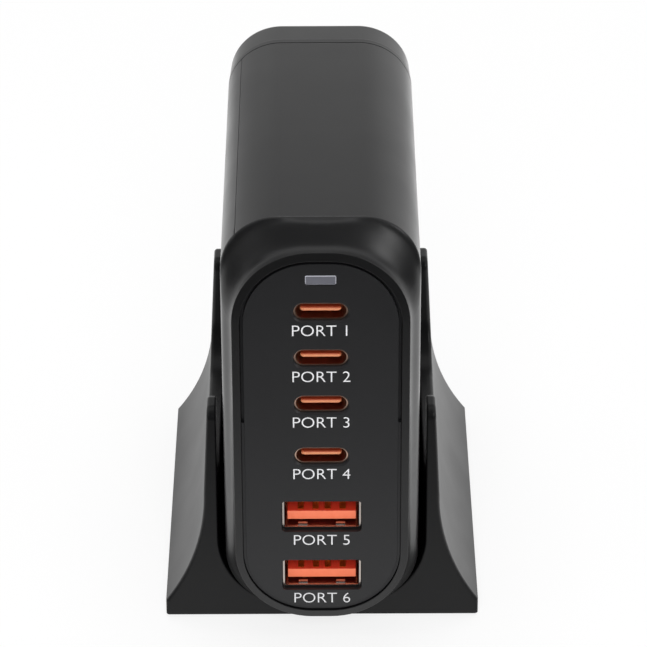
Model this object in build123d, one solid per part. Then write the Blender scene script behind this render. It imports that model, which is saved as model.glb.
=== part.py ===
from build123d import *
import math
import os

# Multi-port USB desktop charger standing upright in its moulded stand.
# Lengths in millimetres. The ports face -Y, +Z is up, the feet stand on Z = 0.

# Charger body
body_width = 32.4
body_height = 75.7
body_depth = 77.2
top_radius = 9.5
bottom_radius = 11.5
wall = 2.0

# Scooped front of the body, from the full section down to the front lip
scoop_depth = 5.2
lip_top_inset = 3.8
lip_side_inset = 1.75
lip_bottom_inset = 1.42
lip_radius = 12.9
ring_fall = 0.35
# Each station of the scoop: share of its depth, shares of the inset and of the rounding reached there
scoop_stations = [
    (0.90, 0.01, 0.65),
    (0.80, 0.04, 1.12),
    (0.70, 0.12, 1.40),
    (0.60, 0.27, 1.52),
    (0.48, 0.50, 1.48),
    (0.34, 0.75, 1.31),
    (0.17, 0.93, 1.12),
    (0.0, 1.0, 1.0),
]

# Port panel set in the front
panel_side_margin = 1.35
panel_top_margin = 1.47
panel_bottom_margin = 1.65
panel_radius = 11.5
panel_recess = 0.2
panel_thickness = 1.8
panel_gap = 0.06
seat_drop = 0.15
ledge_width = 1.2
ledge_thickness = 1.5
groove_width = 0.5
groove_depth = 0.8
groove_rest_depth = 0.12
groove_end_share = 0.55
frame_wall = 1.2
frame_radius = 11.0

# Ports, each height as a share of the panel height
usb_c_shares = [0.86, 0.731, 0.601, 0.452]
usb_a_shares = [0.277, 0.103]
window_share = 0.949
port_clearance = 0.12
port_recess = 0.65
port_length = 10.0
sheet = 0.3
usb_c_width = 8.94
usb_c_height = 3.26
usb_c_lip = 0.05
usb_c_bevel = 0.3
usb_c_tongue_width = 6.69
usb_c_tongue_height = 0.7
usb_c_tongue_recess = 1.15
usb_c_tongue_corner = 0.6
usb_c_tongue_edge = 0.15
usb_c_base = 4.5
usb_a_width = 13.1
usb_a_height = 5.8
usb_a_corner = 0.6
usb_a_setback = 0.3
usb_a_tongue_width = 11.4
usb_a_tongue_height = 1.6
usb_a_tongue_drop = 1.08
usb_a_tongue_recess = 2.2
usb_a_base = 2.5
usb_a_spring_place = 3.15
usb_a_spring_width = 1.5
usb_a_spring_length = 1.8
usb_a_spring_rise = 0.35
usb_a_spring_setback = 0.25
contact_width = 1.0
contact_thickness = 0.15
contact_setback = 0.5
contact_places = [-3.5, -1.0, 1.0, 3.5]
moulding_gap = 0.03
window_width = 5.1
window_height = 1.8
window_corner = 0.35
window_bevel = 0.18
window_flange_side = 0.8
window_flange_edge = 0.3
window_flange_thickness = 0.8
led_width = 3.0
led_height = 1.4
led_thickness = 0.8
led_air = 0.2

# Joints of the housing
cover_joint = 13.75
joint_line_radius = 0.06
cap_length = 8.2
cap_wall = 2.2
cap_edge_radius = 1.2
cap_line_width = 0.2
cap_line_depth = 0.06
cap_draft = 2.4
spigot_length = 3.0
spigot_wall = 1.4
spigot_gap = 0.1

# Circuit boards
board_thickness = 1.6
board_margin = 0.3
main_board_gap = 2.2
main_board_end = 0.3
main_board_low_gap = 4.0
main_board_high_gap = 2.3
rail_width = 1.6
rail_height = 2.0

# Mains inlet in the rear cap
inlet_height_share = 0.22
inlet_width = 19.0
inlet_height = 11.0
inlet_length = 13.0
inlet_floor = 2.5
inlet_lobe_radius = 3.9
inlet_waist = 5.4
inlet_pitch = 8.6
pin_radius = 1.15
pin_setback = 2.0
pin_collar_radius = 1.8
pin_collar_length = 0.8
pin_tail = 1.2
pin_gap = 0.03
lead_radius = 0.8
lead_bend = 2.0
lead_step = 2.4

# Components on the main board: place as shares of board length and height, then sizes
bulk_row_shares = [0.444, 0.795]
bulk_height_share = 0.15
bulk_radius_share = 0.162
bulk_length = 21.0
bulk_rim = 0.8
output_capacitor_gap = 1.6
output_capacitor_shares = [0.12, 0.27, 0.42, 0.57]
output_capacitor_radius = 3.4
output_capacitor_length = 11.0
output_inductor_places = [(0.11, 0.73), (0.11, 0.89)]
output_inductor_size = 8.0
output_inductor_height = 5.5
transformer_place = (0.47, 0.75)
transformer_length = 21.0
transformer_tall = 24.0
transformer_leg = 4.6
transformer_depth = 13.0
bobbin_base = 2.0
bobbin_flange = 1.0
pad_thickness = 1.5
boost_choke_place = (0.39, 0.41)
boost_choke_radius = 7.0
boost_choke_hole = 2.6
boost_choke_height = 9.0
line_choke_place = (0.85, 0.70)
line_choke_radius = 5.8
line_choke_hole = 2.4
line_choke_height = 9.0
choke_base = 1.2
rectifier_place = (0.70, 0.41)
rectifier_length = 11.0
rectifier_tall = 9.0
rectifier_height = 3.4
filter_capacitor_place = (0.91, 0.42)
filter_capacitor_length = 6.0
filter_capacitor_tall = 14.0
filter_capacitor_height = 12.0
fuse_place = (0.88, 0.90)
fuse_length = 8.4
fuse_tall = 4.0
fuse_height = 7.6
spreader_thickness = 1.0
spreader_low_share = 0.24
spreader_high_share = 0.86

# Stand
foot_radius = 4.0
foot_thickness = 1.2
foot_lift = 0.4
foot_inset = 7.5
floor_thickness = 2.0
stand_setback = 5.9
stand_tail = 8.1
base_width = 53.3
base_edge = 2.6
wall_foot_width = 39.8
wall_foot_height = 23.0
wall_top_width = 38.2
post_height = 39.3
front_lean = 2.7
rear_lean = 4.1
post_depth = 6.0
post_round = 2.0
channel_gap = 1.35
dip_height = 20.5
dip_slope = 1.5
dip_radius = 8.0
outer_round = 0.6
inner_round = 0.3
hair = 0.01

# Derived places
front = -body_depth / 2
rear = body_depth / 2
seat = foot_lift + floor_thickness
body_low = seat
body_high = body_low + body_height
half_width = body_width / 2
panel_face = front + panel_recess
panel_back = panel_face + panel_thickness
ledge_back = panel_back + ledge_thickness
shell_front = panel_face + port_recess
port_board_front = shell_front + port_length
port_board_back = port_board_front + board_thickness
cap_joint = rear - cap_length
lip_low = body_low + lip_bottom_inset
lip_high = body_high - lip_top_inset
lip_width = body_width - 2 * lip_side_inset
panel_low = lip_low + panel_bottom_margin
panel_high = lip_high - panel_top_margin
panel_width = lip_width - 2 * panel_side_margin
panel_height = panel_high - panel_low
cavity_low = body_low + wall
cavity_high = body_high - wall
cavity_half = half_width - wall
main_board_left = -cavity_half + main_board_gap
main_board_face = main_board_left + board_thickness
main_board_low = cavity_low + main_board_low_gap
main_board_high = cavity_high - main_board_high_gap
main_board_back = cap_joint - spigot_length - main_board_end
board_length = main_board_back - port_board_back
board_height = main_board_high - main_board_low
inlet_back = rear - cap_wall
inlet_front = inlet_back - inlet_length
tail_end = inlet_front - pin_collar_length - pin_tail
lead_front = tail_end - lead_bend - lead_step - lead_radius
row_length = lead_front - port_board_back
bulk_radius = bulk_radius_share * row_length


def upright(depth):
    """Plane across the charger at a depth, drawn as seen from the front."""
    return Plane((0, depth, 0), x_dir=(1, 0, 0), z_dir=(0, -1, 0))


def slab(sketch, near, far):
    """A sketch drawn as seen from the front, solid from the near depth to the far one."""
    return extrude(upright(far) * sketch, far - near)


def outline(width, low, high, low_radius, high_radius):
    """Upright rectangle with its own corner radius below and above."""
    sketch = Pos(0, (low + high) / 2) * Rectangle(width, high - low)
    sketch = fillet(sketch.vertices().group_by(Axis.Y)[0], low_radius)
    return fillet(sketch.vertices().group_by(Axis.Y)[-1], high_radius)


def body_outline(inset):
    """Section of the charger body, moved inward."""
    return outline(
        body_width - 2 * inset,
        body_low + inset,
        body_high - inset,
        bottom_radius - inset,
        top_radius - inset,
    )


def scoop_outline(share, rounding):
    """Section of the front at a share of the way from the body to the lip."""
    width = body_width - 2 * lip_side_inset * share
    roundest = width / 2 - hair
    return outline(
        width,
        body_low + lip_bottom_inset * share,
        body_high - lip_top_inset * share,
        min(bottom_radius + (lip_radius - bottom_radius) * rounding, roundest),
        min(top_radius + (lip_radius - top_radius) * rounding, roundest),
    )


def panel_outline(inset):
    """Outline of the port panel, moved inward."""
    radius = panel_radius - inset
    return outline(panel_width - 2 * inset, panel_low + inset, panel_high - inset, radius, radius)


def block(x_low, x_high, y_low, y_high, z_low, z_high):
    """Box between two corners."""
    size = (x_high - x_low, y_high - y_low, z_high - z_low)
    middle = ((x_low + x_high) / 2, (y_low + y_high) / 2, (z_low + z_high) / 2)
    return Pos(*middle) * Box(*size)


def on_board(place):
    """Plane on the component face of the main board; local x runs back, local y up."""
    depth = port_board_back + place[0] * board_length
    height = main_board_low + place[1] * board_height
    return Plane((main_board_face, depth, height), x_dir=(0, 1, 0), z_dir=(1, 0, 0))


def standing(place, sketch, start, height):
    """A sketch raised off the main board from a start height."""
    return extrude(on_board(place).offset(start) * sketch, height)


os.makedirs("parts", exist_ok=True)


def save(shape, name):
    """Write one named piece."""
    export_step(shape, "parts/" + name + ".step")


# Housing: a sleeve whose front runs down in a scoop to the lip; the upper corners are hollowed first
lip_place = front + ring_fall
scoop_back = lip_place + scoop_depth
stations = [upright(scoop_back) * scoop_outline(0, 0)]
for depth_share, inset_share, rounding in scoop_stations:
    stations.append(upright(lip_place + scoop_depth * depth_share) * scoop_outline(inset_share, rounding))
housing = loft(stations)
housing += slab(body_outline(0), scoop_back, cap_joint - cap_line_width)
housing += slab(body_outline(cap_line_depth), cap_joint - cap_line_width, cap_joint)

# The seat is a little lower than the panel, so a narrow gap shows along the bottom
seat_outline = outline(
    panel_width + 2 * panel_gap,
    panel_low - panel_gap - seat_drop,
    panel_high + panel_gap,
    panel_radius + panel_gap,
    panel_radius + panel_gap,
)
# The frame behind the panel is rounder than the body, so the wall stays thick under the scooped corners
frame_outline = outline(
    body_width - 2 * (wall + frame_wall),
    body_low + wall + frame_wall,
    body_high - wall - frame_wall,
    frame_radius,
    frame_radius,
)
# A ring rises from the lip toward the panel; behind it are the seat, its ledge and the frame
housing += loft([upright(lip_place) * scoop_outline(1, 1), upright(front) * seat_outline], ruled=True)
housing -= slab(seat_outline, front, panel_back)
housing -= slab(panel_outline(ledge_width), panel_back, ledge_back)
housing -= slab(frame_outline, ledge_back, port_board_front)
housing -= slab(body_outline(wall), port_board_front, cap_joint)

# Rails on the floor and under the top that the main board stands against
rail_zone = slab(body_outline(wall / 2), port_board_back, cap_joint - spigot_length)
rail_low = block(
    main_board_face,
    main_board_face + rail_width,
    port_board_back,
    main_board_back,
    body_low,
    main_board_low + rail_height,
)
rail_high = block(
    main_board_face,
    main_board_face + rail_width,
    port_board_back,
    main_board_back,
    main_board_high - rail_height,
    body_high,
)
housing += rail_low & rail_zone
housing += rail_high & rail_zone

# The left wall is a cover of its own, joined high on the shoulder
cover_zone = block(-body_width, -cover_joint, scoop_back, cap_joint, 0, 2 * body_high)
joint_reach = cover_joint - half_width + top_radius
joint_top = body_high - top_radius + math.sqrt(top_radius**2 - joint_reach**2)
low_reach = cover_joint - half_width + bottom_radius
joint_bottom = body_low + bottom_radius - math.sqrt(bottom_radius**2 - low_reach**2)
joint_line = Circle(joint_line_radius)
joint_lines = slab(Pos(-cover_joint, joint_top) * joint_line, scoop_back, cap_joint)
joint_lines += slab(Pos(-cover_joint, joint_bottom) * joint_line, scoop_back, cap_joint)
side_cover = (housing & cover_zone) - joint_lines
main_housing = (housing - cover_zone) - joint_lines
save(main_housing, "main_housing")
save(side_cover, "side_cover")

# Rear cap with a spigot inside the sleeve and the opening of the mains inlet
inlet_z = cavity_low + inlet_height_share * (cavity_high - cavity_low)
inlet_shape = Pos(0, inlet_z) * Rectangle(inlet_pitch, inlet_waist)
for side in (-1, 1):
    inlet_shape += Pos(side * inlet_pitch / 2, inlet_z) * Circle(inlet_lobe_radius)
rear_cap = extrude(upright(cap_joint) * body_outline(0), -cap_length, taper=cap_draft)
rear_cap = fillet(rear_cap.faces().sort_by(Axis.Y)[-1].edges(), cap_edge_radius)
rear_cap -= slab(body_outline(wall), cap_joint, rear - cap_wall)
spigot = body_outline(wall + spigot_gap) - body_outline(wall + spigot_gap + spigot_wall)
rear_cap += slab(spigot, cap_joint - spigot_length, cap_joint)
spigot_root = body_outline(0) - body_outline(wall + spigot_gap + spigot_wall)
rear_cap += slab(spigot_root, cap_joint, cap_joint + spigot_wall)
rear_cap -= slab(inlet_shape, rear - cap_wall, rear)
save(rear_cap, "rear_cap")

# Mains inlet: moulded socket, two pins with collars, two leads to the board
inlet_block = Pos(0, inlet_z) * Rectangle(inlet_width, inlet_height)
ac_inlet = slab(inlet_block, inlet_front, inlet_back)
ac_inlet -= slab(inlet_shape, inlet_front + inlet_floor, inlet_back)
pins = []
leads = []
for side in (-1, 1):
    spot = Pos(side * inlet_pitch / 2, inlet_z)
    ac_inlet -= slab(spot * Circle(pin_radius + pin_gap), inlet_front, inlet_front + inlet_floor)
    pin = slab(spot * Circle(pin_radius), inlet_front - pin_collar_length, rear - pin_setback)
    pin += slab(spot * Circle(pin_collar_radius), inlet_front - pin_collar_length, inlet_front)
    pin += slab(spot * Circle(lead_radius), tail_end, inlet_front - pin_collar_length)
    pins.append(pin)
    turn = tail_end - lead_bend - lead_step * (side + 1) / 2
    lead_path = FilletPolyline(
        (side * inlet_pitch / 2, tail_end, inlet_z),
        (side * inlet_pitch / 2, turn, inlet_z),
        (main_board_face, turn, inlet_z),
        radius=lead_bend * 0.8,
    )
    leads.append(sweep(upright(tail_end) * spot * Circle(lead_radius), path=lead_path))
save(ac_inlet, "ac_inlet")
save(Compound(children=pins), "inlet_pins")
save(Compound(children=leads), "inlet_leads")

# Port panel with its cut-outs and the fine groove, deep over its upper part and shallow below
port_panel = slab(panel_outline(0), panel_face, panel_back)
groove_end = panel_low + groove_end_share * panel_height
groove_half = Pos(0, groove_end + panel_height / 2) * Rectangle(body_width, panel_height)
groove_ring = panel_outline(-wall) - panel_outline(groove_width)
port_panel -= slab(groove_ring & groove_half, panel_face, panel_face + groove_depth)
port_panel -= slab(groove_ring - groove_half, panel_face, panel_face + groove_rest_depth)
usb_c_heights = [panel_low + share * panel_height for share in usb_c_shares]
usb_a_heights = [panel_low + share * panel_height for share in usb_a_shares]
window_z = panel_low + window_share * panel_height
usb_c_cut = SlotOverall(usb_c_width + 2 * port_clearance, usb_c_height + 2 * port_clearance)
usb_a_cut = RectangleRounded(
    usb_a_width + 2 * port_clearance,
    usb_a_height + 2 * port_clearance,
    usb_a_corner + port_clearance,
)
usb_c_mouth = SlotOverall(usb_c_width - 2 * usb_c_lip, usb_c_height - 2 * usb_c_lip)
usb_c_rim = SlotOverall(
    usb_c_width - 2 * usb_c_lip + 2 * usb_c_bevel,
    usb_c_height - 2 * usb_c_lip + 2 * usb_c_bevel,
)
mouth_back = shell_front - moulding_gap
for height in usb_c_heights:
    place = Pos(0, height)
    port_panel -= slab(place * usb_c_mouth, panel_face, mouth_back)
    port_panel -= slab(place * usb_c_cut, mouth_back, panel_back)
    bevel_back = upright(panel_face + usb_c_bevel) * place * usb_c_mouth
    port_panel -= loft([upright(panel_face) * place * usb_c_rim, bevel_back], ruled=True)
for height in usb_a_heights:
    port_panel -= slab(Pos(0, height) * usb_a_cut, panel_face, panel_back)
window_hole = RectangleRounded(window_width, window_height, window_corner)
port_panel -= slab(Pos(0, window_z) * window_hole, panel_face, panel_back)
save(port_panel, "port_panel")

# Light pipe: its end fills the window, a flange stops behind the panel
window_pane = RectangleRounded(
    window_width - 2 * moulding_gap,
    window_height - 2 * moulding_gap,
    window_corner - moulding_gap,
)
light_pipe = slab(Pos(0, window_z) * window_pane, panel_face, port_board_front - led_thickness - led_air)
window_flange = Rectangle(
    window_width + 2 * window_flange_side,
    window_height + 2 * window_flange_edge,
)
light_pipe += slab(Pos(0, window_z) * window_flange, panel_back, panel_back + window_flange_thickness)
light_pipe = chamfer(light_pipe.faces().sort_by(Axis.Y)[0].edges(), window_bevel)
save(light_pipe, "light_pipe")
status_led = block(
    -led_width / 2,
    led_width / 2,
    port_board_front - led_thickness,
    port_board_front,
    window_z - led_height / 2,
    window_z + led_height / 2,
)
save(status_led, "status_led")

# USB-C receptacles: drawn shell and moulded tongue, both standing on the port board
usb_c_outside = SlotOverall(usb_c_width, usb_c_height)
usb_c_inside = SlotOverall(usb_c_width - 2 * sheet, usb_c_height - 2 * sheet)
usb_c_fill = SlotOverall(
    usb_c_width - 2 * sheet - 2 * moulding_gap,
    usb_c_height - 2 * sheet - 2 * moulding_gap,
)
usb_c_blade = Rectangle(usb_c_tongue_width, usb_c_tongue_height)
for number, height in enumerate(usb_c_heights, start=1):
    place = Pos(0, height)
    shell = slab(place * (usb_c_outside - usb_c_inside), shell_front, port_board_front)
    tongue = slab(place * usb_c_fill, port_board_front - usb_c_base, port_board_front)
    blade = slab(place * usb_c_blade, panel_face + usb_c_tongue_recess, port_board_front)
    blade = fillet(blade.faces().sort_by(Axis.Y)[0].edges().filter_by(Axis.Z), usb_c_tongue_corner)
    blade = chamfer(blade.faces().sort_by(Axis.Y)[0].edges().filter_by(Axis.X), usb_c_tongue_edge)
    tongue += blade
    save(shell, "usb_c_shell_" + str(number))
    save(tongue, "usb_c_tongue_" + str(number))

# USB-A receptacles: shell with two bowed springs on its floor, tongue with its base, and four contacts on top
usb_a_outside = RectangleRounded(usb_a_width, usb_a_height, usb_a_corner)
usb_a_inside = RectangleRounded(usb_a_width - 2 * sheet, usb_a_height - 2 * sheet, usb_a_corner - sheet)
usb_a_fill = RectangleRounded(
    usb_a_width - 2 * sheet - 2 * moulding_gap,
    usb_a_height - 2 * sheet - 2 * moulding_gap,
    usb_a_corner - sheet - moulding_gap,
)
usb_a_blade = Rectangle(usb_a_tongue_width, usb_a_tongue_height)
blade_front = panel_face + usb_a_tongue_recess
spring_radius = (usb_a_spring_length**2 / 4 + usb_a_spring_rise**2) / (2 * usb_a_spring_rise)
spring_middle = shell_front + usb_a_setback + usb_a_spring_setback + usb_a_spring_length / 2
for number, height in enumerate(usb_a_heights, start=1):
    place = Pos(0, height)
    blade_place = Pos(0, height - usb_a_tongue_drop)
    shell = slab(place * (usb_a_outside - usb_a_inside), shell_front + usb_a_setback, port_board_front)
    shell_floor = height - usb_a_height / 2 + sheet
    for x in (-usb_a_spring_place, usb_a_spring_place):
        bow_place = Pos(x, spring_middle, shell_floor + usb_a_spring_rise - spring_radius)
        bow = bow_place * Rot(0, 90, 0) * Cylinder(spring_radius, usb_a_spring_width)
        bow &= block(
            x - usb_a_spring_width,
            x + usb_a_spring_width,
            spring_middle - usb_a_spring_length,
            spring_middle + usb_a_spring_length,
            shell_floor - sheet / 2,
            shell_floor + 2 * usb_a_spring_rise,
        )
        shell += bow
    tongue = slab(place * usb_a_fill, port_board_front - usb_a_base, port_board_front)
    tongue += slab(blade_place * usb_a_blade, blade_front, port_board_front)
    blade_top = height - usb_a_tongue_drop + usb_a_tongue_height / 2
    contacts = []
    for x in contact_places:
        contacts.append(
            block(
                x - contact_width / 2,
                x + contact_width / 2,
                blade_front + contact_setback,
                port_board_front - usb_a_base,
                blade_top,
                blade_top + contact_thickness,
            )
        )
    save(shell, "usb_a_shell_" + str(number))
    save(tongue, "usb_a_tongue_" + str(number))
    save(Compound(children=contacts), "usb_a_contacts_" + str(number))

# Circuit boards: one across behind the ports, one along the left wall
save(slab(body_outline(wall + board_margin), port_board_front, port_board_back), "port_board")
main_board = block(
    main_board_left,
    main_board_face,
    port_board_back,
    main_board_back,
    main_board_low,
    main_board_high,
)
save(main_board, "main_board")

# Smoothing capacitors in a row that ends before the mains leads, output capacitors behind the port board
for number, share in enumerate(bulk_row_shares, start=1):
    place = (share * row_length / board_length, bulk_height_share)
    can = standing(place, Circle(bulk_radius), 0, bulk_length)
    can = fillet(can.edges().filter_by(GeomType.CIRCLE).sort_by(Axis.X)[-1], bulk_rim)
    save(can, "bulk_capacitor_" + str(number))
for number, share in enumerate(output_capacitor_shares, start=1):
    place = ((output_capacitor_gap + output_capacitor_radius) / board_length, share)
    can = standing(place, Circle(output_capacitor_radius), 0, output_capacitor_length)
    save(can, "output_capacitor_" + str(number))
for number, place in enumerate(output_inductor_places, start=1):
    choke_block = Rectangle(output_inductor_size, output_inductor_size)
    save(standing(place, choke_block, 0, output_inductor_height), "output_inductor_" + str(number))

# Transformer: bobbin on the board, winding on it, core around it, soft pad to the spreader
spreader_face = cavity_half - spreader_thickness
core_height = spreader_face - pad_thickness - main_board_face - bobbin_base
window_tall = transformer_tall - 2 * transformer_leg
core = Rectangle(transformer_depth, transformer_tall)
transformer_core = standing(transformer_place, core, bobbin_base, core_height)
core_window = Rectangle(transformer_depth, window_tall / 2 - transformer_leg / 2)
for side in (-1, 1):
    offset = side * (window_tall / 4 + transformer_leg / 4)
    transformer_core -= standing(
        transformer_place,
        Pos(0, offset) * core_window,
        bobbin_base + transformer_leg,
        core_height - 2 * transformer_leg,
    )
save(transformer_core, "transformer_core")
bobbin_height = core_height - 2 * transformer_leg
leg_hole = Rectangle(transformer_depth + 2 * moulding_gap, transformer_leg + 2 * moulding_gap)
tube = Rectangle(
    transformer_depth + 2 * bobbin_flange,
    transformer_leg + 2 * bobbin_flange,
)
flange = Rectangle(transformer_length, window_tall - 2 * moulding_gap)
coil_zone = bobbin_base + transformer_leg + moulding_gap
coil_height = bobbin_height - 2 * moulding_gap
bobbin = standing(transformer_place, flange - leg_hole, coil_zone, bobbin_flange)
bobbin += standing(
    transformer_place, flange - leg_hole, coil_zone + coil_height - bobbin_flange, bobbin_flange
)
bobbin += standing(transformer_place, tube - leg_hole, coil_zone, coil_height)
bobbin += standing(transformer_place, Rectangle(transformer_length, transformer_tall), 0, bobbin_base)
for side in (-1, 1):
    reach = (transformer_length + transformer_depth + 4 * moulding_gap) / 4
    cheek = Rectangle((transformer_length - transformer_depth) / 2 - 2 * moulding_gap, window_tall / 2)
    bobbin += standing(transformer_place, Pos(side * reach, 0) * cheek, 0, coil_zone + bobbin_flange)
save(bobbin, "transformer_bobbin")
wound = Rectangle(transformer_length - bobbin_flange, window_tall - 6 * moulding_gap)
winding = standing(
    transformer_place,
    wound - tube,
    coil_zone + bobbin_flange,
    coil_height - 2 * bobbin_flange,
)
save(winding, "transformer_winding")
pad_start = bobbin_base + core_height
save(standing(transformer_place, core, pad_start, pad_thickness), "thermal_pad")

# Chokes: wound rings on a small base
boost_base = standing(boost_choke_place, Circle(boost_choke_radius), 0, choke_base)
save(boost_base, "boost_choke_base")
boost_ring = Circle(boost_choke_radius) - Circle(boost_choke_hole)
save(standing(boost_choke_place, boost_ring, choke_base, boost_choke_height), "boost_choke")
line_base = standing(line_choke_place, Circle(line_choke_radius), 0, choke_base)
save(line_base, "line_choke_base")
line_ring = Circle(line_choke_radius) - Circle(line_choke_hole)
save(standing(line_choke_place, line_ring, choke_base, line_choke_height), "line_choke")

# Remaining mains parts
rectifier = Rectangle(rectifier_length, rectifier_tall)
save(standing(rectifier_place, rectifier, 0, rectifier_height), "bridge_rectifier")
filter_box = Rectangle(filter_capacitor_length, filter_capacitor_tall)
save(standing(filter_capacitor_place, filter_box, 0, filter_capacitor_height), "filter_capacitor")
fuse_box = Rectangle(fuse_length, fuse_tall)
save(standing(fuse_place, fuse_box, 0, fuse_height), "line_fuse")

# Heat spreader against the right wall
spreader_low = cavity_low + spreader_low_share * (cavity_high - cavity_low)
spreader_high = cavity_low + spreader_high_share * (cavity_high - cavity_low)
spreader = block(
    spreader_face,
    cavity_half,
    port_board_back + board_margin,
    cap_joint - spigot_length - board_margin,
    spreader_low,
    spreader_high,
)
save(spreader, "heat_spreader")

# Stand: flared sides drawn from the front, posts and dips from the side, corners from above
stand_low = foot_lift
stand_length = body_depth - stand_setback - stand_tail
stand_front = front + stand_setback
stand_rear = stand_front + stand_length
flare_run = (base_width - wall_foot_width) / 2
flare_rise = wall_foot_height - base_edge
flare_radius = (flare_run**2 + flare_rise**2) / (2 * flare_run)
flare_turn = math.asin(flare_rise / flare_radius) / 2
flare_x = wall_foot_width / 2 + flare_radius * (1 - math.cos(flare_turn))
flare_z = stand_low + wall_foot_height - flare_radius * math.sin(flare_turn)
post_top = stand_low + post_height
half_base = base_width / 2
half_foot = wall_foot_width / 2
half_top = wall_top_width / 2
edge_top = stand_low + base_edge
foot_top = stand_low + wall_foot_height
right_side = Line((0, stand_low), (half_base, stand_low))
right_side += Line((half_base, stand_low), (half_base, edge_top))
right_side += ThreePointArc((half_base, edge_top), (flare_x, flare_z), (half_foot, foot_top))
right_side += Line((half_foot, foot_top), (half_top, post_top))
right_side += Line((half_top, post_top), (0, post_top))
right_side += Line((0, post_top), (0, stand_low))
half_section = make_face(right_side)
stand = slab(half_section + mirror(half_section, about=Plane.YZ), stand_front, stand_rear)
dip_near = stand_front + front_lean + post_depth
dip_far = stand_rear - rear_lean - post_depth
dip_low = stand_low + dip_height
side_view = Polygon(
    (stand_front, stand_low),
    (stand_rear, stand_low),
    (stand_rear - rear_lean, post_top),
    (dip_far, post_top),
    (dip_far - dip_slope, dip_low),
    (dip_near + dip_slope, dip_low),
    (dip_near, post_top),
    (stand_front + front_lean, post_top),
    align=None,
)
side_view = fillet(side_view.vertices().group_by(Axis.Y)[-1], post_round)
dip_corners = [corner for corner in side_view.vertices() if abs(corner.Y - dip_low) < hair]
side_view = fillet(dip_corners, dip_radius)
stand &= extrude(Plane.YZ * side_view, half_base, both=True)
channel_low = seat
channel = outline(
    body_width + 2 * channel_gap,
    channel_low,
    channel_low + body_height,
    bottom_radius + channel_gap,
    top_radius,
)
stand -= slab(channel, stand_front, stand_rear)

# Edges of the wings are broken outside and, more lightly, inside
wing_inside = half_width + channel_gap
outer_edges = []
for edge in stand.edges():
    box = edge.bounding_box()
    one_side = box.min.X * box.max.X > 0
    reach = min(abs(box.min.X), abs(box.max.X))
    level = box.max.Z - box.min.Z < hair
    if not one_side or box.max.Z < stand_low + hair:
        continue
    if reach > half_top - hair and not (level and reach > half_foot - hair):
        outer_edges.append(edge)
stand = fillet(outer_edges, outer_round)
stand_inner = []
for edge in stand.edges():
    box = edge.bounding_box()
    reach = min(abs(box.min.X), abs(box.max.X))
    flat = box.max.X - box.min.X < hair
    if abs(reach - wing_inside) < hair and flat and box.max.Z > dip_low - hair:
        stand_inner.append(edge)
stand = fillet(stand_inner, inner_round)
foot_pads = []
for side in (-1, 1):
    for end in (stand_front + foot_inset, stand_rear - foot_inset):
        foot_place = Pos(side * (half_base - foot_inset), end, foot_thickness / 2)
        foot = foot_place * Cylinder(foot_radius, foot_thickness)
        recess = foot_place * Cylinder(foot_radius + port_clearance, foot_thickness)
        stand -= recess
        foot_pads.append(foot)
save(stand, "stand")
save(Compound(children=foot_pads), "foot_pads")
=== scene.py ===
# %% [markdown]
# # A six-port desktop charger in its stand
#
# This lesson dresses a finished CAD model: a near-black charger, about as tall and deep as a pack of cards
# on its edge and twice as thick, that rests in a moulded stand. The shapes are already right, so the work
# here is what the eye gets from plastic, plated steel and print, plus the light and the camera.
#
# The first cell loads the model as a fixed frame and keeps the box that it fills.

# %% Load the CAD model
import math

import bpy
from mathutils import Matrix, Vector


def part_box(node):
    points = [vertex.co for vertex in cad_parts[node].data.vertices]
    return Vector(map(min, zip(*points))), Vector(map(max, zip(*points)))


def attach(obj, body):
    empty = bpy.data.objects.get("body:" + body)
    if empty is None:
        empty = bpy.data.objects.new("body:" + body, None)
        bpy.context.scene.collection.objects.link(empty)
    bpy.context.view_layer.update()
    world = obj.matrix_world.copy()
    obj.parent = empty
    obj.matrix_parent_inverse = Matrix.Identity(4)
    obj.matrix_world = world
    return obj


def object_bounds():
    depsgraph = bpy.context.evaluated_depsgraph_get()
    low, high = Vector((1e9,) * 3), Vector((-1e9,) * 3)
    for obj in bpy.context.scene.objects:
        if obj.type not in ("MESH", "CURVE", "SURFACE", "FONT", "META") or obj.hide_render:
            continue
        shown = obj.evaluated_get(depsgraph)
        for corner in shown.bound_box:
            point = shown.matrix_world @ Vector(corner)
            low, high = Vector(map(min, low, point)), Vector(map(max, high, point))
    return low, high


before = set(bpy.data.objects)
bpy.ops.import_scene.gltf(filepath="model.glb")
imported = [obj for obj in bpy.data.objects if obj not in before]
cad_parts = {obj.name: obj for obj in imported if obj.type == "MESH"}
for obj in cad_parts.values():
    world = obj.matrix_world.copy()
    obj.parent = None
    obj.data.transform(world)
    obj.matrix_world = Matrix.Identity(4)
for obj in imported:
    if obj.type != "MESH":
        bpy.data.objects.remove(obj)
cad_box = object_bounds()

scene = bpy.context.scene
MM = 0.001
print("CAD box in mm:", [[round(v / MM, 1) for v in corner] for corner in cad_box])

# %% [markdown]
# ## Camera
#
# The photograph looks down on the front at about thirty degrees, from far enough away that the sides
# hardly converge. A long lens a little over half a metre away gives that. The place and the focal length
# come from fitting the port openings, whose sizes are standard, and the edges of the body. The camera is
# turned a quarter of a degree about its own axis, because the object leans that little in the picture.

# %% Camera
focal_px = 3516  # the fitted focal length, in pixels of a square picture
picture_px = 647  # the side of that picture
look_down = math.radians(30.486)
lean = math.radians(-0.234)
aim_right_mm = 0.437  # the lens points at this place in the plane of the front
aim_height_mm = 61.52
distance_mm = 565.655

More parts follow.
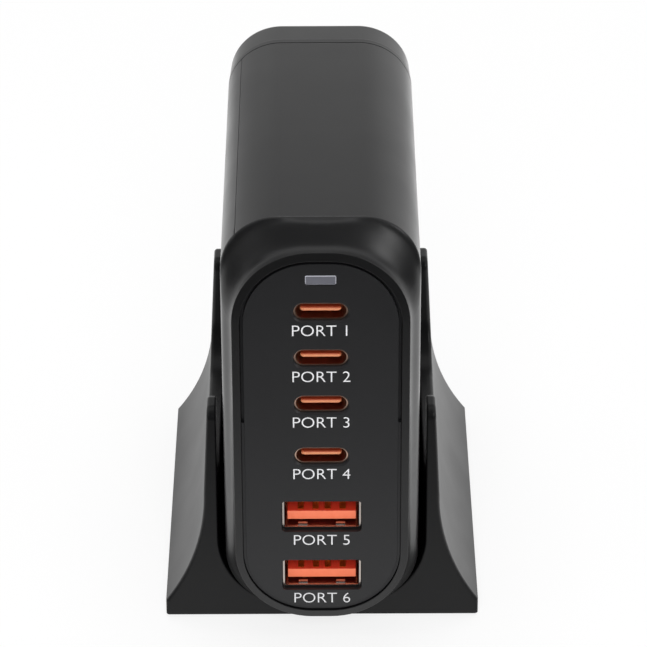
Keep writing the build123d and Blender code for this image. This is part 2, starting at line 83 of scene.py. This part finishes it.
camera_data = bpy.data.cameras.new("product_camera")
camera_data.sensor_width = 36.0
camera_data.lens = camera_data.sensor_width * focal_px / picture_px
camera_data.clip_start = 0.02
camera = bpy.data.objects.new("product_camera", camera_data)
scene.collection.objects.link(camera)
aim = Vector((aim_right_mm * MM, cad_box[0].y, aim_height_mm * MM))
forward = Vector((0, math.cos(look_down), -math.sin(look_down)))
tilt = Matrix.Rotation(math.radians(90) - look_down, 4, "X")
roll = Matrix.Rotation(lean, 4, "Z")
camera.matrix_world = Matrix.Translation(aim - forward * distance_mm * MM) @ tilt @ roll
scene.camera = camera
print("camera at", [round(v, 4) for v in camera.matrix_world.translation])
print("lens of", round(camera_data.lens, 1), "mm")

# %% [markdown]
# ## Four helpers
#
# Colours are written the way a designer reads them off a screen, as sRGB hex, and Blender's shaders want
# linear light, so one function converts. A second one adds a shader node, sets its options and fills its
# inputs: an input that gets a socket is linked to it, and any other value is set on it. The other two
# start a material from nothing and give it to pieces of the model.

# %% Helpers for colours and materials
def tint(code):
    """sRGB hex code as a linear colour with alpha."""
    parts = [int(code[i:i + 2], 16) / 255 for i in (1, 3, 5)]
    return tuple(c / 12.92 if c <= 0.04045 else ((c + 0.055) / 1.055) ** 2.4 for c in parts) + (1.0,)


def add(tree, kind, inputs=None, **options):
    """Add a shader node, set its options, then set or link its inputs."""
    made = tree.nodes.new("ShaderNode" + kind)
    for name, value in options.items():
        setattr(made, name, value)
    for socket, value in (inputs or {}).items():
        if isinstance(value, bpy.types.NodeSocket):
            tree.links.new(value, made.inputs[socket])
        else:
            made.inputs[socket].default_value = value
    return made


def blank(name):
    """A material with only its output node."""
    made = bpy.data.materials.new(name)
    made.use_nodes = True
    made.node_tree.nodes.clear()
    return made, made.node_tree, made.node_tree.nodes.new("ShaderNodeOutputMaterial")


def wear(material, *names):
    """Give a material to CAD pieces."""
    for name in names:
        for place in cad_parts[name].material_slots:
            place.material = material
    print(material.name, "on", len(names), "pieces")


# %% [markdown]
# ## Moulded ABS of the housing
#
# The housing is injection-moulded ABS, coloured through with carbon black and taken from a mould that was
# lightly spark-eroded. Its colour sends back almost no light. What the eye sees is the satin surface: a
# weak, wide reflection of the room that grows bright where a face is seen at a flat angle, along the
# sides and the top. So the base colour is very dark and the roughness does the work. The real texture is
# about a tenth of a millimetre, too fine for this picture, so it is drawn at 0.45 mm with a shallow bump.
#
# The CAD model leaves some edges sharp, and any moulded edge is a little round. A bevel modifier would
# change the mesh, so the Bevel node rounds them in the shading only, by a fifth of a millimetre. The rim
# where the scooped front starts is rounder, half a millimetre, so the function takes a second radius for
# the slice of the depth that holds that rim.

# %% Housing plastic
RIM_FRONT = -35.5  # mm along Y, the slice of the depth that holds the rim of the scoop
RIM_BACK = -30.5
RIM_FADE = 1.0
CLOUD_MM = 14  # size of the faint clouds in colour and gloss


def moulded_abs(name, dark, light, roughness, ior, grain_mm, depth_mm, edge_mm, rim_mm=0.0):
    """Near-black satin ABS with a spark-eroded grain, softened edges and, if asked, a rounder scoop rim."""
    material, tree, out = blank(name)
    place = add(tree, "TexCoord").outputs["Object"]
    grain = add(tree, "TexNoise", {"Vector": place, "Scale": 1 / (grain_mm * MM), "Detail": 3.0})
    cloud = add(tree, "TexNoise", {"Vector": place, "Scale": 1 / (CLOUD_MM * MM), "Detail": 2.0})
    colour = add(tree, "Mix", {"Factor": cloud.outputs["Fac"], "A": tint(dark), "B": tint(light)},
                 data_type="RGBA")
    dull = add(tree, "MapRange", {"Value": cloud.outputs["Fac"], "From Min": 0.3, "From Max": 0.7,
                                  "To Min": roughness - 0.03, "To Max": roughness + 0.03})
    depth = add(tree, "SeparateXYZ", {"Vector": place}).outputs["Y"]
    behind = add(tree, "MapRange", {"Value": depth, "From Min": RIM_FRONT * MM,
                                    "From Max": (RIM_FRONT + RIM_FADE) * MM})
    ahead = add(tree, "MapRange", {"Value": depth, "From Min": RIM_BACK * MM,
                                   "From Max": (RIM_BACK - RIM_FADE) * MM})
    rim = add(tree, "Math", {0: behind.outputs["Result"], 1: ahead.outputs["Result"]}, operation="MULTIPLY")
    reach = add(tree, "MapRange", {"Value": rim.outputs[0], "To Min": edge_mm * MM,
                                   "To Max": max(edge_mm, rim_mm) * MM})
    edge = add(tree, "Bevel", {"Radius": reach.outputs["Result"]}, samples=6)
    bump = add(tree, "Bump", {"Height": grain.outputs["Fac"], "Strength": 0.25, "Distance": depth_mm * MM,
                              "Normal": edge.outputs["Normal"]})
    shade = add(tree, "BsdfPrincipled", {"Base Color": colour.outputs["Result"], "IOR": ior,
                                         "Roughness": dull.outputs["Result"],
                                         "Normal": bump.outputs["Normal"]})
    tree.links.new(shade.outputs["BSDF"], out.inputs["Surface"])
    return material


housing_abs = moulded_abs("moulded_abs_housing", "#0e0e0f", "#131314", roughness=0.34, ior=1.5,
                          grain_mm=0.45, depth_mm=0.02, edge_mm=0.2, rim_mm=0.5)
wear(housing_abs, "main_housing", "side_cover", "rear_cap")

# %% [markdown]
# ## Port panel and stand
#
# The panel is the same ABS from a finer mould, so it is a shade flatter. The stand is another moulding of
# the same kind. It shows less of the room in its gloss, and an IOR a little below that of real ABS gives
# that. One function made the housing's plastic, and two calls with other values make these.

# %% Panel and stand plastic
panel_abs = moulded_abs("moulded_abs_panel", "#161618", "#1a1a1c", roughness=0.46, ior=1.5,
                        grain_mm=0.35, depth_mm=0.015, edge_mm=0.12)
wear(panel_abs, "port_panel")
stand_abs = moulded_abs("moulded_abs_stand", "#0a0a0b", "#0e0e0f", roughness=0.36, ior=1.36,
                        grain_mm=0.45, depth_mm=0.02, edge_mm=0.25)
wear(stand_abs, "stand")

# %% [markdown]
# ## Connector plastic, orange
#
# The tongues inside the ports are a glass-filled nylon in a warm orange, often a sign of a fast port.
# It is the only colour on the object. Nylon with glass fibre is slightly mottled and half-matt. The colour
# follows the direction that a face points in: the front edge keeps a pale orange, and the flat sides that
# run into the port get a stronger red, which is painted shade for the depth of the port, where little light
# falls. This is simpler than lighting it and sets both tones directly. The wide tongues are a clearer
# orange than the small ones, which are browner.

# %% Orange tongues
MOTTLE_MM = 0.5


def glass_nylon(name, dark, light, side):
    """Mottled glass-filled nylon, with painted shade in a darker red on the sides that run into the port.
    """
    material, tree, out = blank(name)
    place = add(tree, "TexCoord").outputs["Object"]
    mottle = add(tree, "TexNoise", {"Vector": place, "Scale": 1 / (MOTTLE_MM * MM), "Detail": 2.0})
    front_edge = add(tree, "Mix", {"Factor": mottle.outputs["Fac"], "A": tint(dark), "B": tint(light)},
                     data_type="RGBA")
    facing = add(tree, "SeparateXYZ", {"Vector": add(tree, "NewGeometry").outputs["Normal"]}).outputs["Z"]
    facing = add(tree, "Math", {0: facing}, operation="ABSOLUTE")
    painted_light_mask = add(tree, "MapRange", {"Value": facing.outputs[0], "From Min": 0.2, "From Max": 0.8})
    # The flat sides that run into the port get the darker red: painted shade for the depth of the port.
    colour = add(tree, "Mix", {"Factor": painted_light_mask.outputs["Result"], "A": front_edge.outputs["Result"],
                               "B": tint(side)}, data_type="RGBA")
    bump = add(tree, "Bump", {"Height": mottle.outputs["Fac"], "Strength": 0.15, "Distance": 0.01 * MM})
    shade = add(tree, "BsdfPrincipled", {"Base Color": colour.outputs["Result"], "Roughness": 0.42,
                                         "IOR": 1.53, "Normal": bump.outputs["Normal"]})
    tree.links.new(shade.outputs["BSDF"], out.inputs["Surface"])
    return material


# The last colour of each is painted shade for the sides that run into the port.
brown_orange = glass_nylon("moulded_nylon_brown_orange", "#d88a5f", "#e09368", "#a23d21")
wear(brown_orange, *["usb_c_tongue_%d" % n for n in (1, 2, 3, 4)])
clear_orange = glass_nylon("moulded_nylon_orange", "#fb7c54", "#ff8862", "#ea402a")
wear(clear_orange, "usb_a_tongue_1", "usb_a_tongue_2")

# %% [markdown]
# ## Plated metal
#
# The shells of the ports are drawn steel with a plating, nickel on the wide ports. The small ones are given
# a warm, pale tint, a painted reflection of the orange tongue that makes their cavities warmer and
# brighter.
# Inside a port there is little light, and the plating mirrors the orange tongue, so the cavity looks dark
# red. Drawing leaves fine lines along the depth. They are too fine to show, so noise that is stretched
# along the depth draws them 0.2 mm apart, in the gloss alone. The contacts on the wide tongues are
# gold-plated.

# %% Plated shells and contacts
LINE_MM = 0.2
LINE_STRETCH = (1.0, 0.05, 1.0)


def plated(name, code, roughness):
    """Plated metal with fine drawing lines along the depth."""
    material, tree, out = blank(name)
    place = add(tree, "TexCoord").outputs["Object"]
    drawn = add(tree, "Mapping", {"Vector": place, "Scale": LINE_STRETCH})
    lines = add(tree, "TexNoise", {"Vector": drawn.outputs["Vector"], "Scale": 1 / (LINE_MM * MM),
                                   "Detail": 2.0})
    dull = add(tree, "MapRange", {"Value": lines.outputs["Fac"], "To Min": roughness - 0.02,
                                  "To Max": roughness + 0.02})
    shade = add(tree, "BsdfPrincipled", {"Base Color": tint(code), "Metallic": 1.0,
                                         "Roughness": dull.outputs["Result"]})
    tree.links.new(shade.outputs["BSDF"], out.inputs["Surface"])
    return material


nickel = plated("nickel_plated_steel", "#c8beb7", roughness=0.26)
wear(nickel, "usb_a_shell_1", "usb_a_shell_2")
# The small ports' plating is tinted warm and pale: a painted reflection of the orange tongue.
orange_tinted_plating = plated("plating_with_painted_orange_reflection", "#efcbb5", roughness=0.30)
wear(orange_tinted_plating, *["usb_c_shell_%d" % n for n in (1, 2, 3, 4)])
gold = plated("gold_plated_bronze", "#d6a652", roughness=0.28)
wear(gold, "usb_a_contacts_1", "usb_a_contacts_2")
tinned = plated("tinned_brass_pins", "#c9c6c0", roughness=0.24)
wear(tinned, "inlet_pins")

# %% [markdown]
# ## Frosted window
#
# A pale strip near the top of the panel is the end of a light pipe, clear polycarbonate with its face
# left frosted. It could be made as clear plastic with a rough face, but the lamp behind it is off, so an
# opaque, milky grey with a breath of violet is enough. Its bevelled edge is painted a paler grey than its
# face, a painted highlight for the light that it gathers from the whole pipe.

# %% Window and lamp
FROST_MM = 1.2

frosted, tree, out = blank("frosted_polycarbonate")
place = add(tree, "TexCoord").outputs["Object"]
milk = add(tree, "TexNoise", {"Vector": place, "Scale": 1 / (FROST_MM * MM), "Detail": 2.0})
colour = add(tree, "Mix", {"Factor": milk.outputs["Fac"], "A": tint("#56575f"), "B": tint("#62636c")},
             data_type="RGBA")
facing = add(tree, "SeparateXYZ", {"Vector": add(tree, "NewGeometry").outputs["Normal"]}).outputs["Y"]
facing = add(tree, "Math", {0: facing}, operation="ABSOLUTE")
painted_light_mask = add(tree, "MapRange", {"Value": facing.outputs[0], "From Min": 0.8, "From Max": 0.98})
# Faces not turned straight ahead, on the bevelled edge, get a pale grey: a painted highlight.
colour = add(tree, "Mix", {"Factor": painted_light_mask.outputs["Result"], "A": tint("#b4b5be"),
                           "B": colour.outputs["Result"]}, data_type="RGBA")
shade = add(tree, "BsdfPrincipled", {"Base Color": colour.outputs["Result"], "Roughness": 0.38,
                                     "IOR": 1.58})
tree.links.new(shade.outputs["BSDF"], out.inputs["Surface"])
wear(frosted, "light_pipe", "status_led")

# %% [markdown]
# ## Inside and underneath
#
# The boards and their parts are closed in by the housing, and the pads are under the stand. They still
# get what they are made of, so that the model can be opened up or seen from below: a green
# solder mask, ferrite, copper wire, sleeved cans and so on. They differ only in colour, gloss and grain,
# so one table of plain words and values makes them all.

# %% Materials of the hidden pieces
hidden = [
    # name, dark and light colour, metallic, roughness, IOR, grain in mm, pieces
    ("solder_mask_green", "#1d4a31", "#245a3b", 0.0, 0.35, 1.55, 1.5, ["port_board", "main_board"]),
    ("moulded_phenolic_black", "#0c0c0d", "#141414", 0.0, 0.50, 1.55, 0.6,
     ["ac_inlet", "transformer_bobbin", "boost_choke_base", "line_choke_base", "bridge_rectifier",
      "line_fuse"]),
    ("sintered_ferrite", "#252423", "#302f2e", 0.0, 0.60, 1.6, 0.5,
     ["transformer_core", "output_inductor_1", "output_inductor_2"]),
    ("polyester_tape_yellow", "#c7a21f", "#d2ad2b", 0.0, 0.40, 1.55, 1.0, ["transformer_winding"]),
    ("enamelled_copper_wire", "#a3552b", "#b4653a", 1.0, 0.35, 1.5, 0.8, ["boost_choke", "line_choke"]),
    ("shrunk_sleeve_dark", "#14161f", "#1a1d28", 0.0, 0.30, 1.53, 2.0,
     ["bulk_capacitor_1", "bulk_capacitor_2"]),
    ("bare_aluminium_can", "#c6c6c9", "#d0d0d3", 1.0, 0.30, 1.5, 1.0,
     ["output_capacitor_%d" % n for n in (1, 2, 3, 4)]),
    ("mill_aluminium_plate", "#bcbcbe", "#c6c6c8", 1.0, 0.42, 1.5, 0.7, ["heat_spreader"]),
    ("silicone_gap_pad", "#7f8b97", "#8a96a2", 0.0, 0.70, 1.41, 1.0, ["thermal_pad"]),
    ("polypropylene_box_yellow", "#c9aa35", "#d3b541", 0.0, 0.42, 1.49, 1.2, ["filter_capacitor"]),
    ("pvc_lead_brown", "#46291a", "#523120", 0.0, 0.45, 1.53, 0.8, ["inlet_leads"]),
    ("silicone_rubber_foot", "#0d0d0d", "#151515", 0.0, 0.75, 1.41, 0.5, ["foot_pads"]),
]
for name, dark, light, metal, roughness, ior, grain_mm, pieces in hidden:
    material, tree, out = blank(name)
    place = add(tree, "TexCoord").outputs["Object"]
    grain = add(tree, "TexNoise", {"Vector": place, "Scale": 1 / (grain_mm * MM), "Detail": 2.0})
    colour = add(tree, "Mix", {"Factor": grain.outputs["Fac"], "A": tint(dark), "B": tint(light)},
                 data_type="RGBA")
    bump = add(tree, "Bump", {"Height": grain.outputs["Fac"], "Strength": 0.2, "Distance": 0.02 * MM})
    shade = add(tree, "BsdfPrincipled", {"Base Color": colour.outputs["Result"], "Metallic": metal,
                                         "Roughness": roughness, "IOR": ior,
                                         "Normal": bump.outputs["Normal"]})
    tree.links.new(shade.outputs["BSDF"], out.inputs["Surface"])
    wear(material, *pieces)

# %% [markdown]
# ## Printed port numbers
#
# Under each port stands a short word in white, pad-printed on the panel. Print could be painted by the
# shader, but letters need crisp outlines, so each word is a text object turned to a mesh one hundredth of
# a millimetre thick. It sits on the face of the panel, which the CAD model gives.

# %% Printed words under the ports
INK_MM = 0.01
PATCH_MM = 0.3  # size of the thin and thick patches in the ink
CAP_HEIGHT_MM = 2.0
DROP_SMALL_MM = 3.35  # from the middle of a port down to the middle of its word
DROP_WIDE_MM = 4.65
STROKE_OFFSET = -0.010  # in text units, makes the strokes thinner

pad_ink, tree, out = blank("pad_print_white")
place = add(tree, "TexCoord").outputs["Object"]
thin = add(tree, "TexNoise", {"Vector": place, "Scale": 1 / (PATCH_MM * MM), "Detail": 2.0})
colour = add(tree, "Mix", {"Factor": thin.outputs["Fac"], "A": tint("#d2d2d4"), "B": tint("#e6e6e8")},
             data_type="RGBA")
shade = add(tree, "BsdfPrincipled", {"Base Color": colour.outputs["Result"], "Roughness": 0.5, "IOR": 1.5})
tree.links.new(shade.outputs["BSDF"], out.inputs["Surface"])

panel_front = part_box("port_panel")[0].y
ports = [("usb_c_shell_%d" % n, DROP_SMALL_MM) for n in (1, 2, 3, 4)]
ports += [("usb_a_shell_%d" % n, DROP_WIDE_MM) for n in (1, 2)]
for number, (shell_name, drop_mm) in enumerate(ports, start=1):
    low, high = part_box(shell_name)
    word = bpy.data.curves.new("port_word", "FONT")
    word.body = "PORT %d" % number
    word.align_x = "CENTER"
    word.align_y = "CENTER"
    word.resolution_u = 4
    word.offset = STROKE_OFFSET
    word.extrude = INK_MM / 2
    shaped = bpy.data.objects.new("port_word", word)
    scene.collection.objects.link(shaped)
    bpy.context.view_layer.update()
    mesh = bpy.data.meshes.new_from_object(shaped.evaluated_get(bpy.context.evaluated_depsgraph_get()))
    bpy.data.objects.remove(shaped)
    rows = [v.co.y for v in mesh.vertices]
    scale = CAP_HEIGHT_MM * MM / (max(rows) - min(rows))
    mesh.transform(Matrix.Translation((0, -(max(rows) + min(rows)) / 2, 0)))
    mesh.transform(Matrix.Diagonal((scale, scale, MM, 1)))
    mesh.transform(Matrix.Rotation(math.radians(90), 4, "X"))
    height = (low.z + high.z) / 2 - drop_mm * MM
    mesh.transform(Matrix.Translation((0, panel_front - INK_MM / 2 * MM, height)))
    printed = bpy.data.objects.new("port_number_%d" % number, mesh)
    scene.collection.objects.link(printed)
    printed.data.materials.append(pad_ink)
    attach(printed, "root")
    print(printed.name, "width", round(printed.dimensions.x / MM, 2), "mm, faces", len(mesh.polygons))

# %% [markdown]
# ## Floor
#
# The picture is a product shot on plain white, on a pale table. A curved sweep of paper would do, but the
# camera looks down, so a flat sheet fills the picture. It is white paint that shows mostly as plain white
# and keeps a faint shadow of the object.

# %% Floor
FLOOR_REACH = 3000  # mm from the middle to each edge


def flat_sheet(name, corners_mm):
    """A rectangle for the stage, from its corners in millimetres."""
    mesh = bpy.data.meshes.new(name)
    mesh.from_pydata([Vector(c) * MM for c in corners_mm], [], [(0, 1, 2, 3)])
    sheet = bpy.data.objects.new(name, mesh)
    scene.collection.objects.link(sheet)
    return sheet


floor = flat_sheet("floor", [(-FLOOR_REACH, -FLOOR_REACH, 0), (FLOOR_REACH, -FLOOR_REACH, 0),
                             (FLOOR_REACH, FLOOR_REACH, 0), (-FLOOR_REACH, FLOOR_REACH, 0)])
floor_paint, tree, out = blank("white_table_paint")
ray = add(tree, "LightPath").outputs
seen = add(tree, "Math", {0: ray["Is Camera Ray"], 1: ray["Is Glossy Ray"]}, operation="MAXIMUM")
seen = add(tree, "Math", {0: seen.outputs[0], 1: ray["Is Transmission Ray"]}, operation="MAXIMUM")
share = add(tree, "Math", {0: seen.outputs[0], 1: 0.8}, operation="MULTIPLY")
paint = add(tree, "BsdfDiffuse", {"Color": tint("#f8f8f8")})
white = add(tree, "Emission", {"Color": (1, 1, 1, 1), "Strength": 1.0})
both = add(tree, "MixShader", {0: share.outputs[0], 1: paint.outputs[0], 2: white.outputs[0]})
tree.links.new(both.outputs[0], out.inputs["Surface"])
floor.data.materials.append(floor_paint)

# %% [markdown]
# ## Flags
#
# Gloss on black plastic is nothing but a picture of the room, so what stands around the object matters as
# much as the lamps. A photographer who shoots black plastic in a white tent puts up dark cards, called
# flags, so that the faces turned to the camera don't go grey. Three do it here: one lies on the floor in
# front, one hangs behind the camera, and a paler one stands behind the object and darkens upward.
#
# Each side has its own set of cards. On the table, a card at the foot grades the flared sides of the
# stand, one further out lights the bands beside the front, one behind draws a bright line along each edge
# of the body's top, and a dark one in front darkens the ring around the panel. A grey wing at the back
# dims the shoulders. Further out, a low dark card darkens the scooped corners, and a high card grades the
# scoop above them: on the right it is bright and puts a soft glint there, and on the left it is dimmer
# than the room, so that side stays darker. All of them are seen by reflections only.

# %% Flags
TABLE_LIFT = 0.3  # mm, a card lies this far above the floor
SIDE_CARDS = 450  # mm from the middle to the cards that stand at the sides
REAR_CARD = 150  # mm from the middle to the card behind
REAR_WINGS = 149  # the wings stand just in front of it


def flag(name, corners_mm, levels, axis="Z", span_mm=(0, 1)):
    """A card that only reflections see; its grey runs between two levels over a span along an axis."""
    sheet = flat_sheet(name, corners_mm)
    material, tree, out = blank(name + "_card")
    place = add(tree, "TexCoord").outputs["Object"]
    along = add(tree, "SeparateXYZ", {"Vector": place}).outputs[axis]
    grey = add(tree, "MapRange", {"Value": along, "From Min": span_mm[0] * MM, "From Max": span_mm[1] * MM,
                                  "To Min": levels[0], "To Max": levels[1]})
    glow = add(tree, "Emission", {"Color": (1, 1, 1, 1), "Strength": grey.outputs["Result"]})
    tree.links.new(glow.outputs[0], out.inputs["Surface"])
    sheet.data.materials.append(material)
    sheet.visible_camera = sheet.visible_diffuse = sheet.visible_shadow = sheet.visible_transmission = False
    print(name, "from", levels[0], "to", levels[1])


def lying(x_mm, y_mm):
    """Corners of a card on the table, over the given ranges in millimetres."""
    (x0, x1), (y0, y1) = x_mm, y_mm
    return [(x0, y0, TABLE_LIFT), (x1, y0, TABLE_LIFT), (x1, y1, TABLE_LIFT), (x0, y1, TABLE_LIFT)]


def standing(x_mm, y_mm, z_mm):
    """Corners of a card that stands upright, over the given ranges in millimetres."""
    (x0, x1), (y0, y1), (z0, z1) = x_mm, y_mm, z_mm
    return [(x0, y0, z0), (x1, y1, z0), (x1, y1, z1), (x0, y0, z1)]


flag("floor_flag", lying((-60, 60), (-1100, -34)), (0.90, 0.0), "Y", (-60, -160))
flag("front_flag", [(-1400, -1150, -10), (1400, -1150, -10), (1400, -700, 2600), (-1400, -700, 2600)],
     (0.10, 0.30), "Z", (0, 2600))
flag("rear_flag", standing((-260, 260), (REAR_CARD, REAR_CARD), (95, 420)), (0.84, 0.38), "Z", (130, 200))

# %% Cards at the sides
levels_of_sides = [
    # side, name, then the levels of the foot, flank, edge, wing and glint
    (-1, "left", 0.42, 1.35, 1.5, 0.66, 0.7),
    (1, "right", 0.46, 1.5, 1.7, 0.86, 5.4),
]
for side, name, foot, flank, edge, wing, glint in levels_of_sides:
    far = (side * SIDE_CARDS, side * SIDE_CARDS)
    flag("foot_card_" + name, lying((side * 27, side * 45), (-60, 80)),
         (foot, 3.5 * foot), "X", (side * 27, side * 38))
    flag("flank_card_" + name, lying((side * 45, side * 160), (-60, 80)), (flank, flank))
    flag("edge_card_" + name, lying((side * 22, side * 85), (85, 240)), (edge, edge))
    flag("dark_table_" + name, lying((side * 60, side * 600), (-1100, -65)), (0.05, 0.05))
    flag("rear_wing_" + name, standing((side * 50, side * 260), (REAR_WINGS, REAR_WINGS), (45, 150)),
         (wing, wing))
    flag("low_card_" + name, standing(far, (-650, -20), (-5, 150)), (0.1, 0.1))
    flag("high_card_" + name, standing(far, (-600, 60), (215, 390)),
         (glint, 0.1 * glint), "Y", (-450, -150))

# %% [markdown]
# ## World and lamps
#
# The room is white and lit by big soft lights. The world stands for the room: white to the eye and to
# reflections, and dimmer as light on the object. Two square lamps, one above and one in front, are the
# softboxes. Seen in the gloss they would be hard squares, so reflections leave them out.

# %% World and lamps
world = bpy.data.worlds.new("white_room")
scene.world = world
world.use_nodes = True
tree = world.node_tree
tree.nodes.clear()
ray = add(tree, "LightPath").outputs
seen = add(tree, "Math", {0: ray["Is Camera Ray"], 1: ray["Is Glossy Ray"]}, operation="MAXIMUM")
seen = add(tree, "Math", {0: seen.outputs[0], 1: ray["Is Transmission Ray"]}, operation="MAXIMUM")
level = add(tree, "MapRange", {"Value": seen.outputs[0], "To Min": 0.45, "To Max": 1.0})
sky = add(tree, "Background", {"Color": (1, 1, 1, 1), "Strength": level.outputs["Result"]})
out = tree.nodes.new("ShaderNodeOutputWorld")
tree.links.new(sky.outputs[0], out.inputs["Surface"])


def softbox(name, place_mm, aim_mm, size_mm, share):
    """A square lamp that reflections don't show; share is how bright it makes a white face turned to it."""
    lamp = bpy.data.lights.new(name, "AREA")
    lamp.size = size_mm * MM
    away = (Vector(aim_mm) - Vector(place_mm)) * MM
    lamp.energy = share * math.pi ** 2 * away.length_squared
    lamp_place = bpy.data.objects.new(name, lamp)
    lamp_place.location = Vector(place_mm) * MM
    lamp_place.rotation_euler = away.to_track_quat("-Z", "Y").to_euler()
    lamp_place.visible_glossy = False
    scene.collection.objects.link(lamp_place)
    print(name, round(lamp.energy, 2), "W")


middle_mm = (0, 0, 40)
softbox("softbox_above", (0, 250, 1000), middle_mm, size_mm=800, share=0.5)
softbox("softbox_front", (0, -900, 700), middle_mm, size_mm=600, share=0.55)
scene.view_settings.view_transform = "Standard"
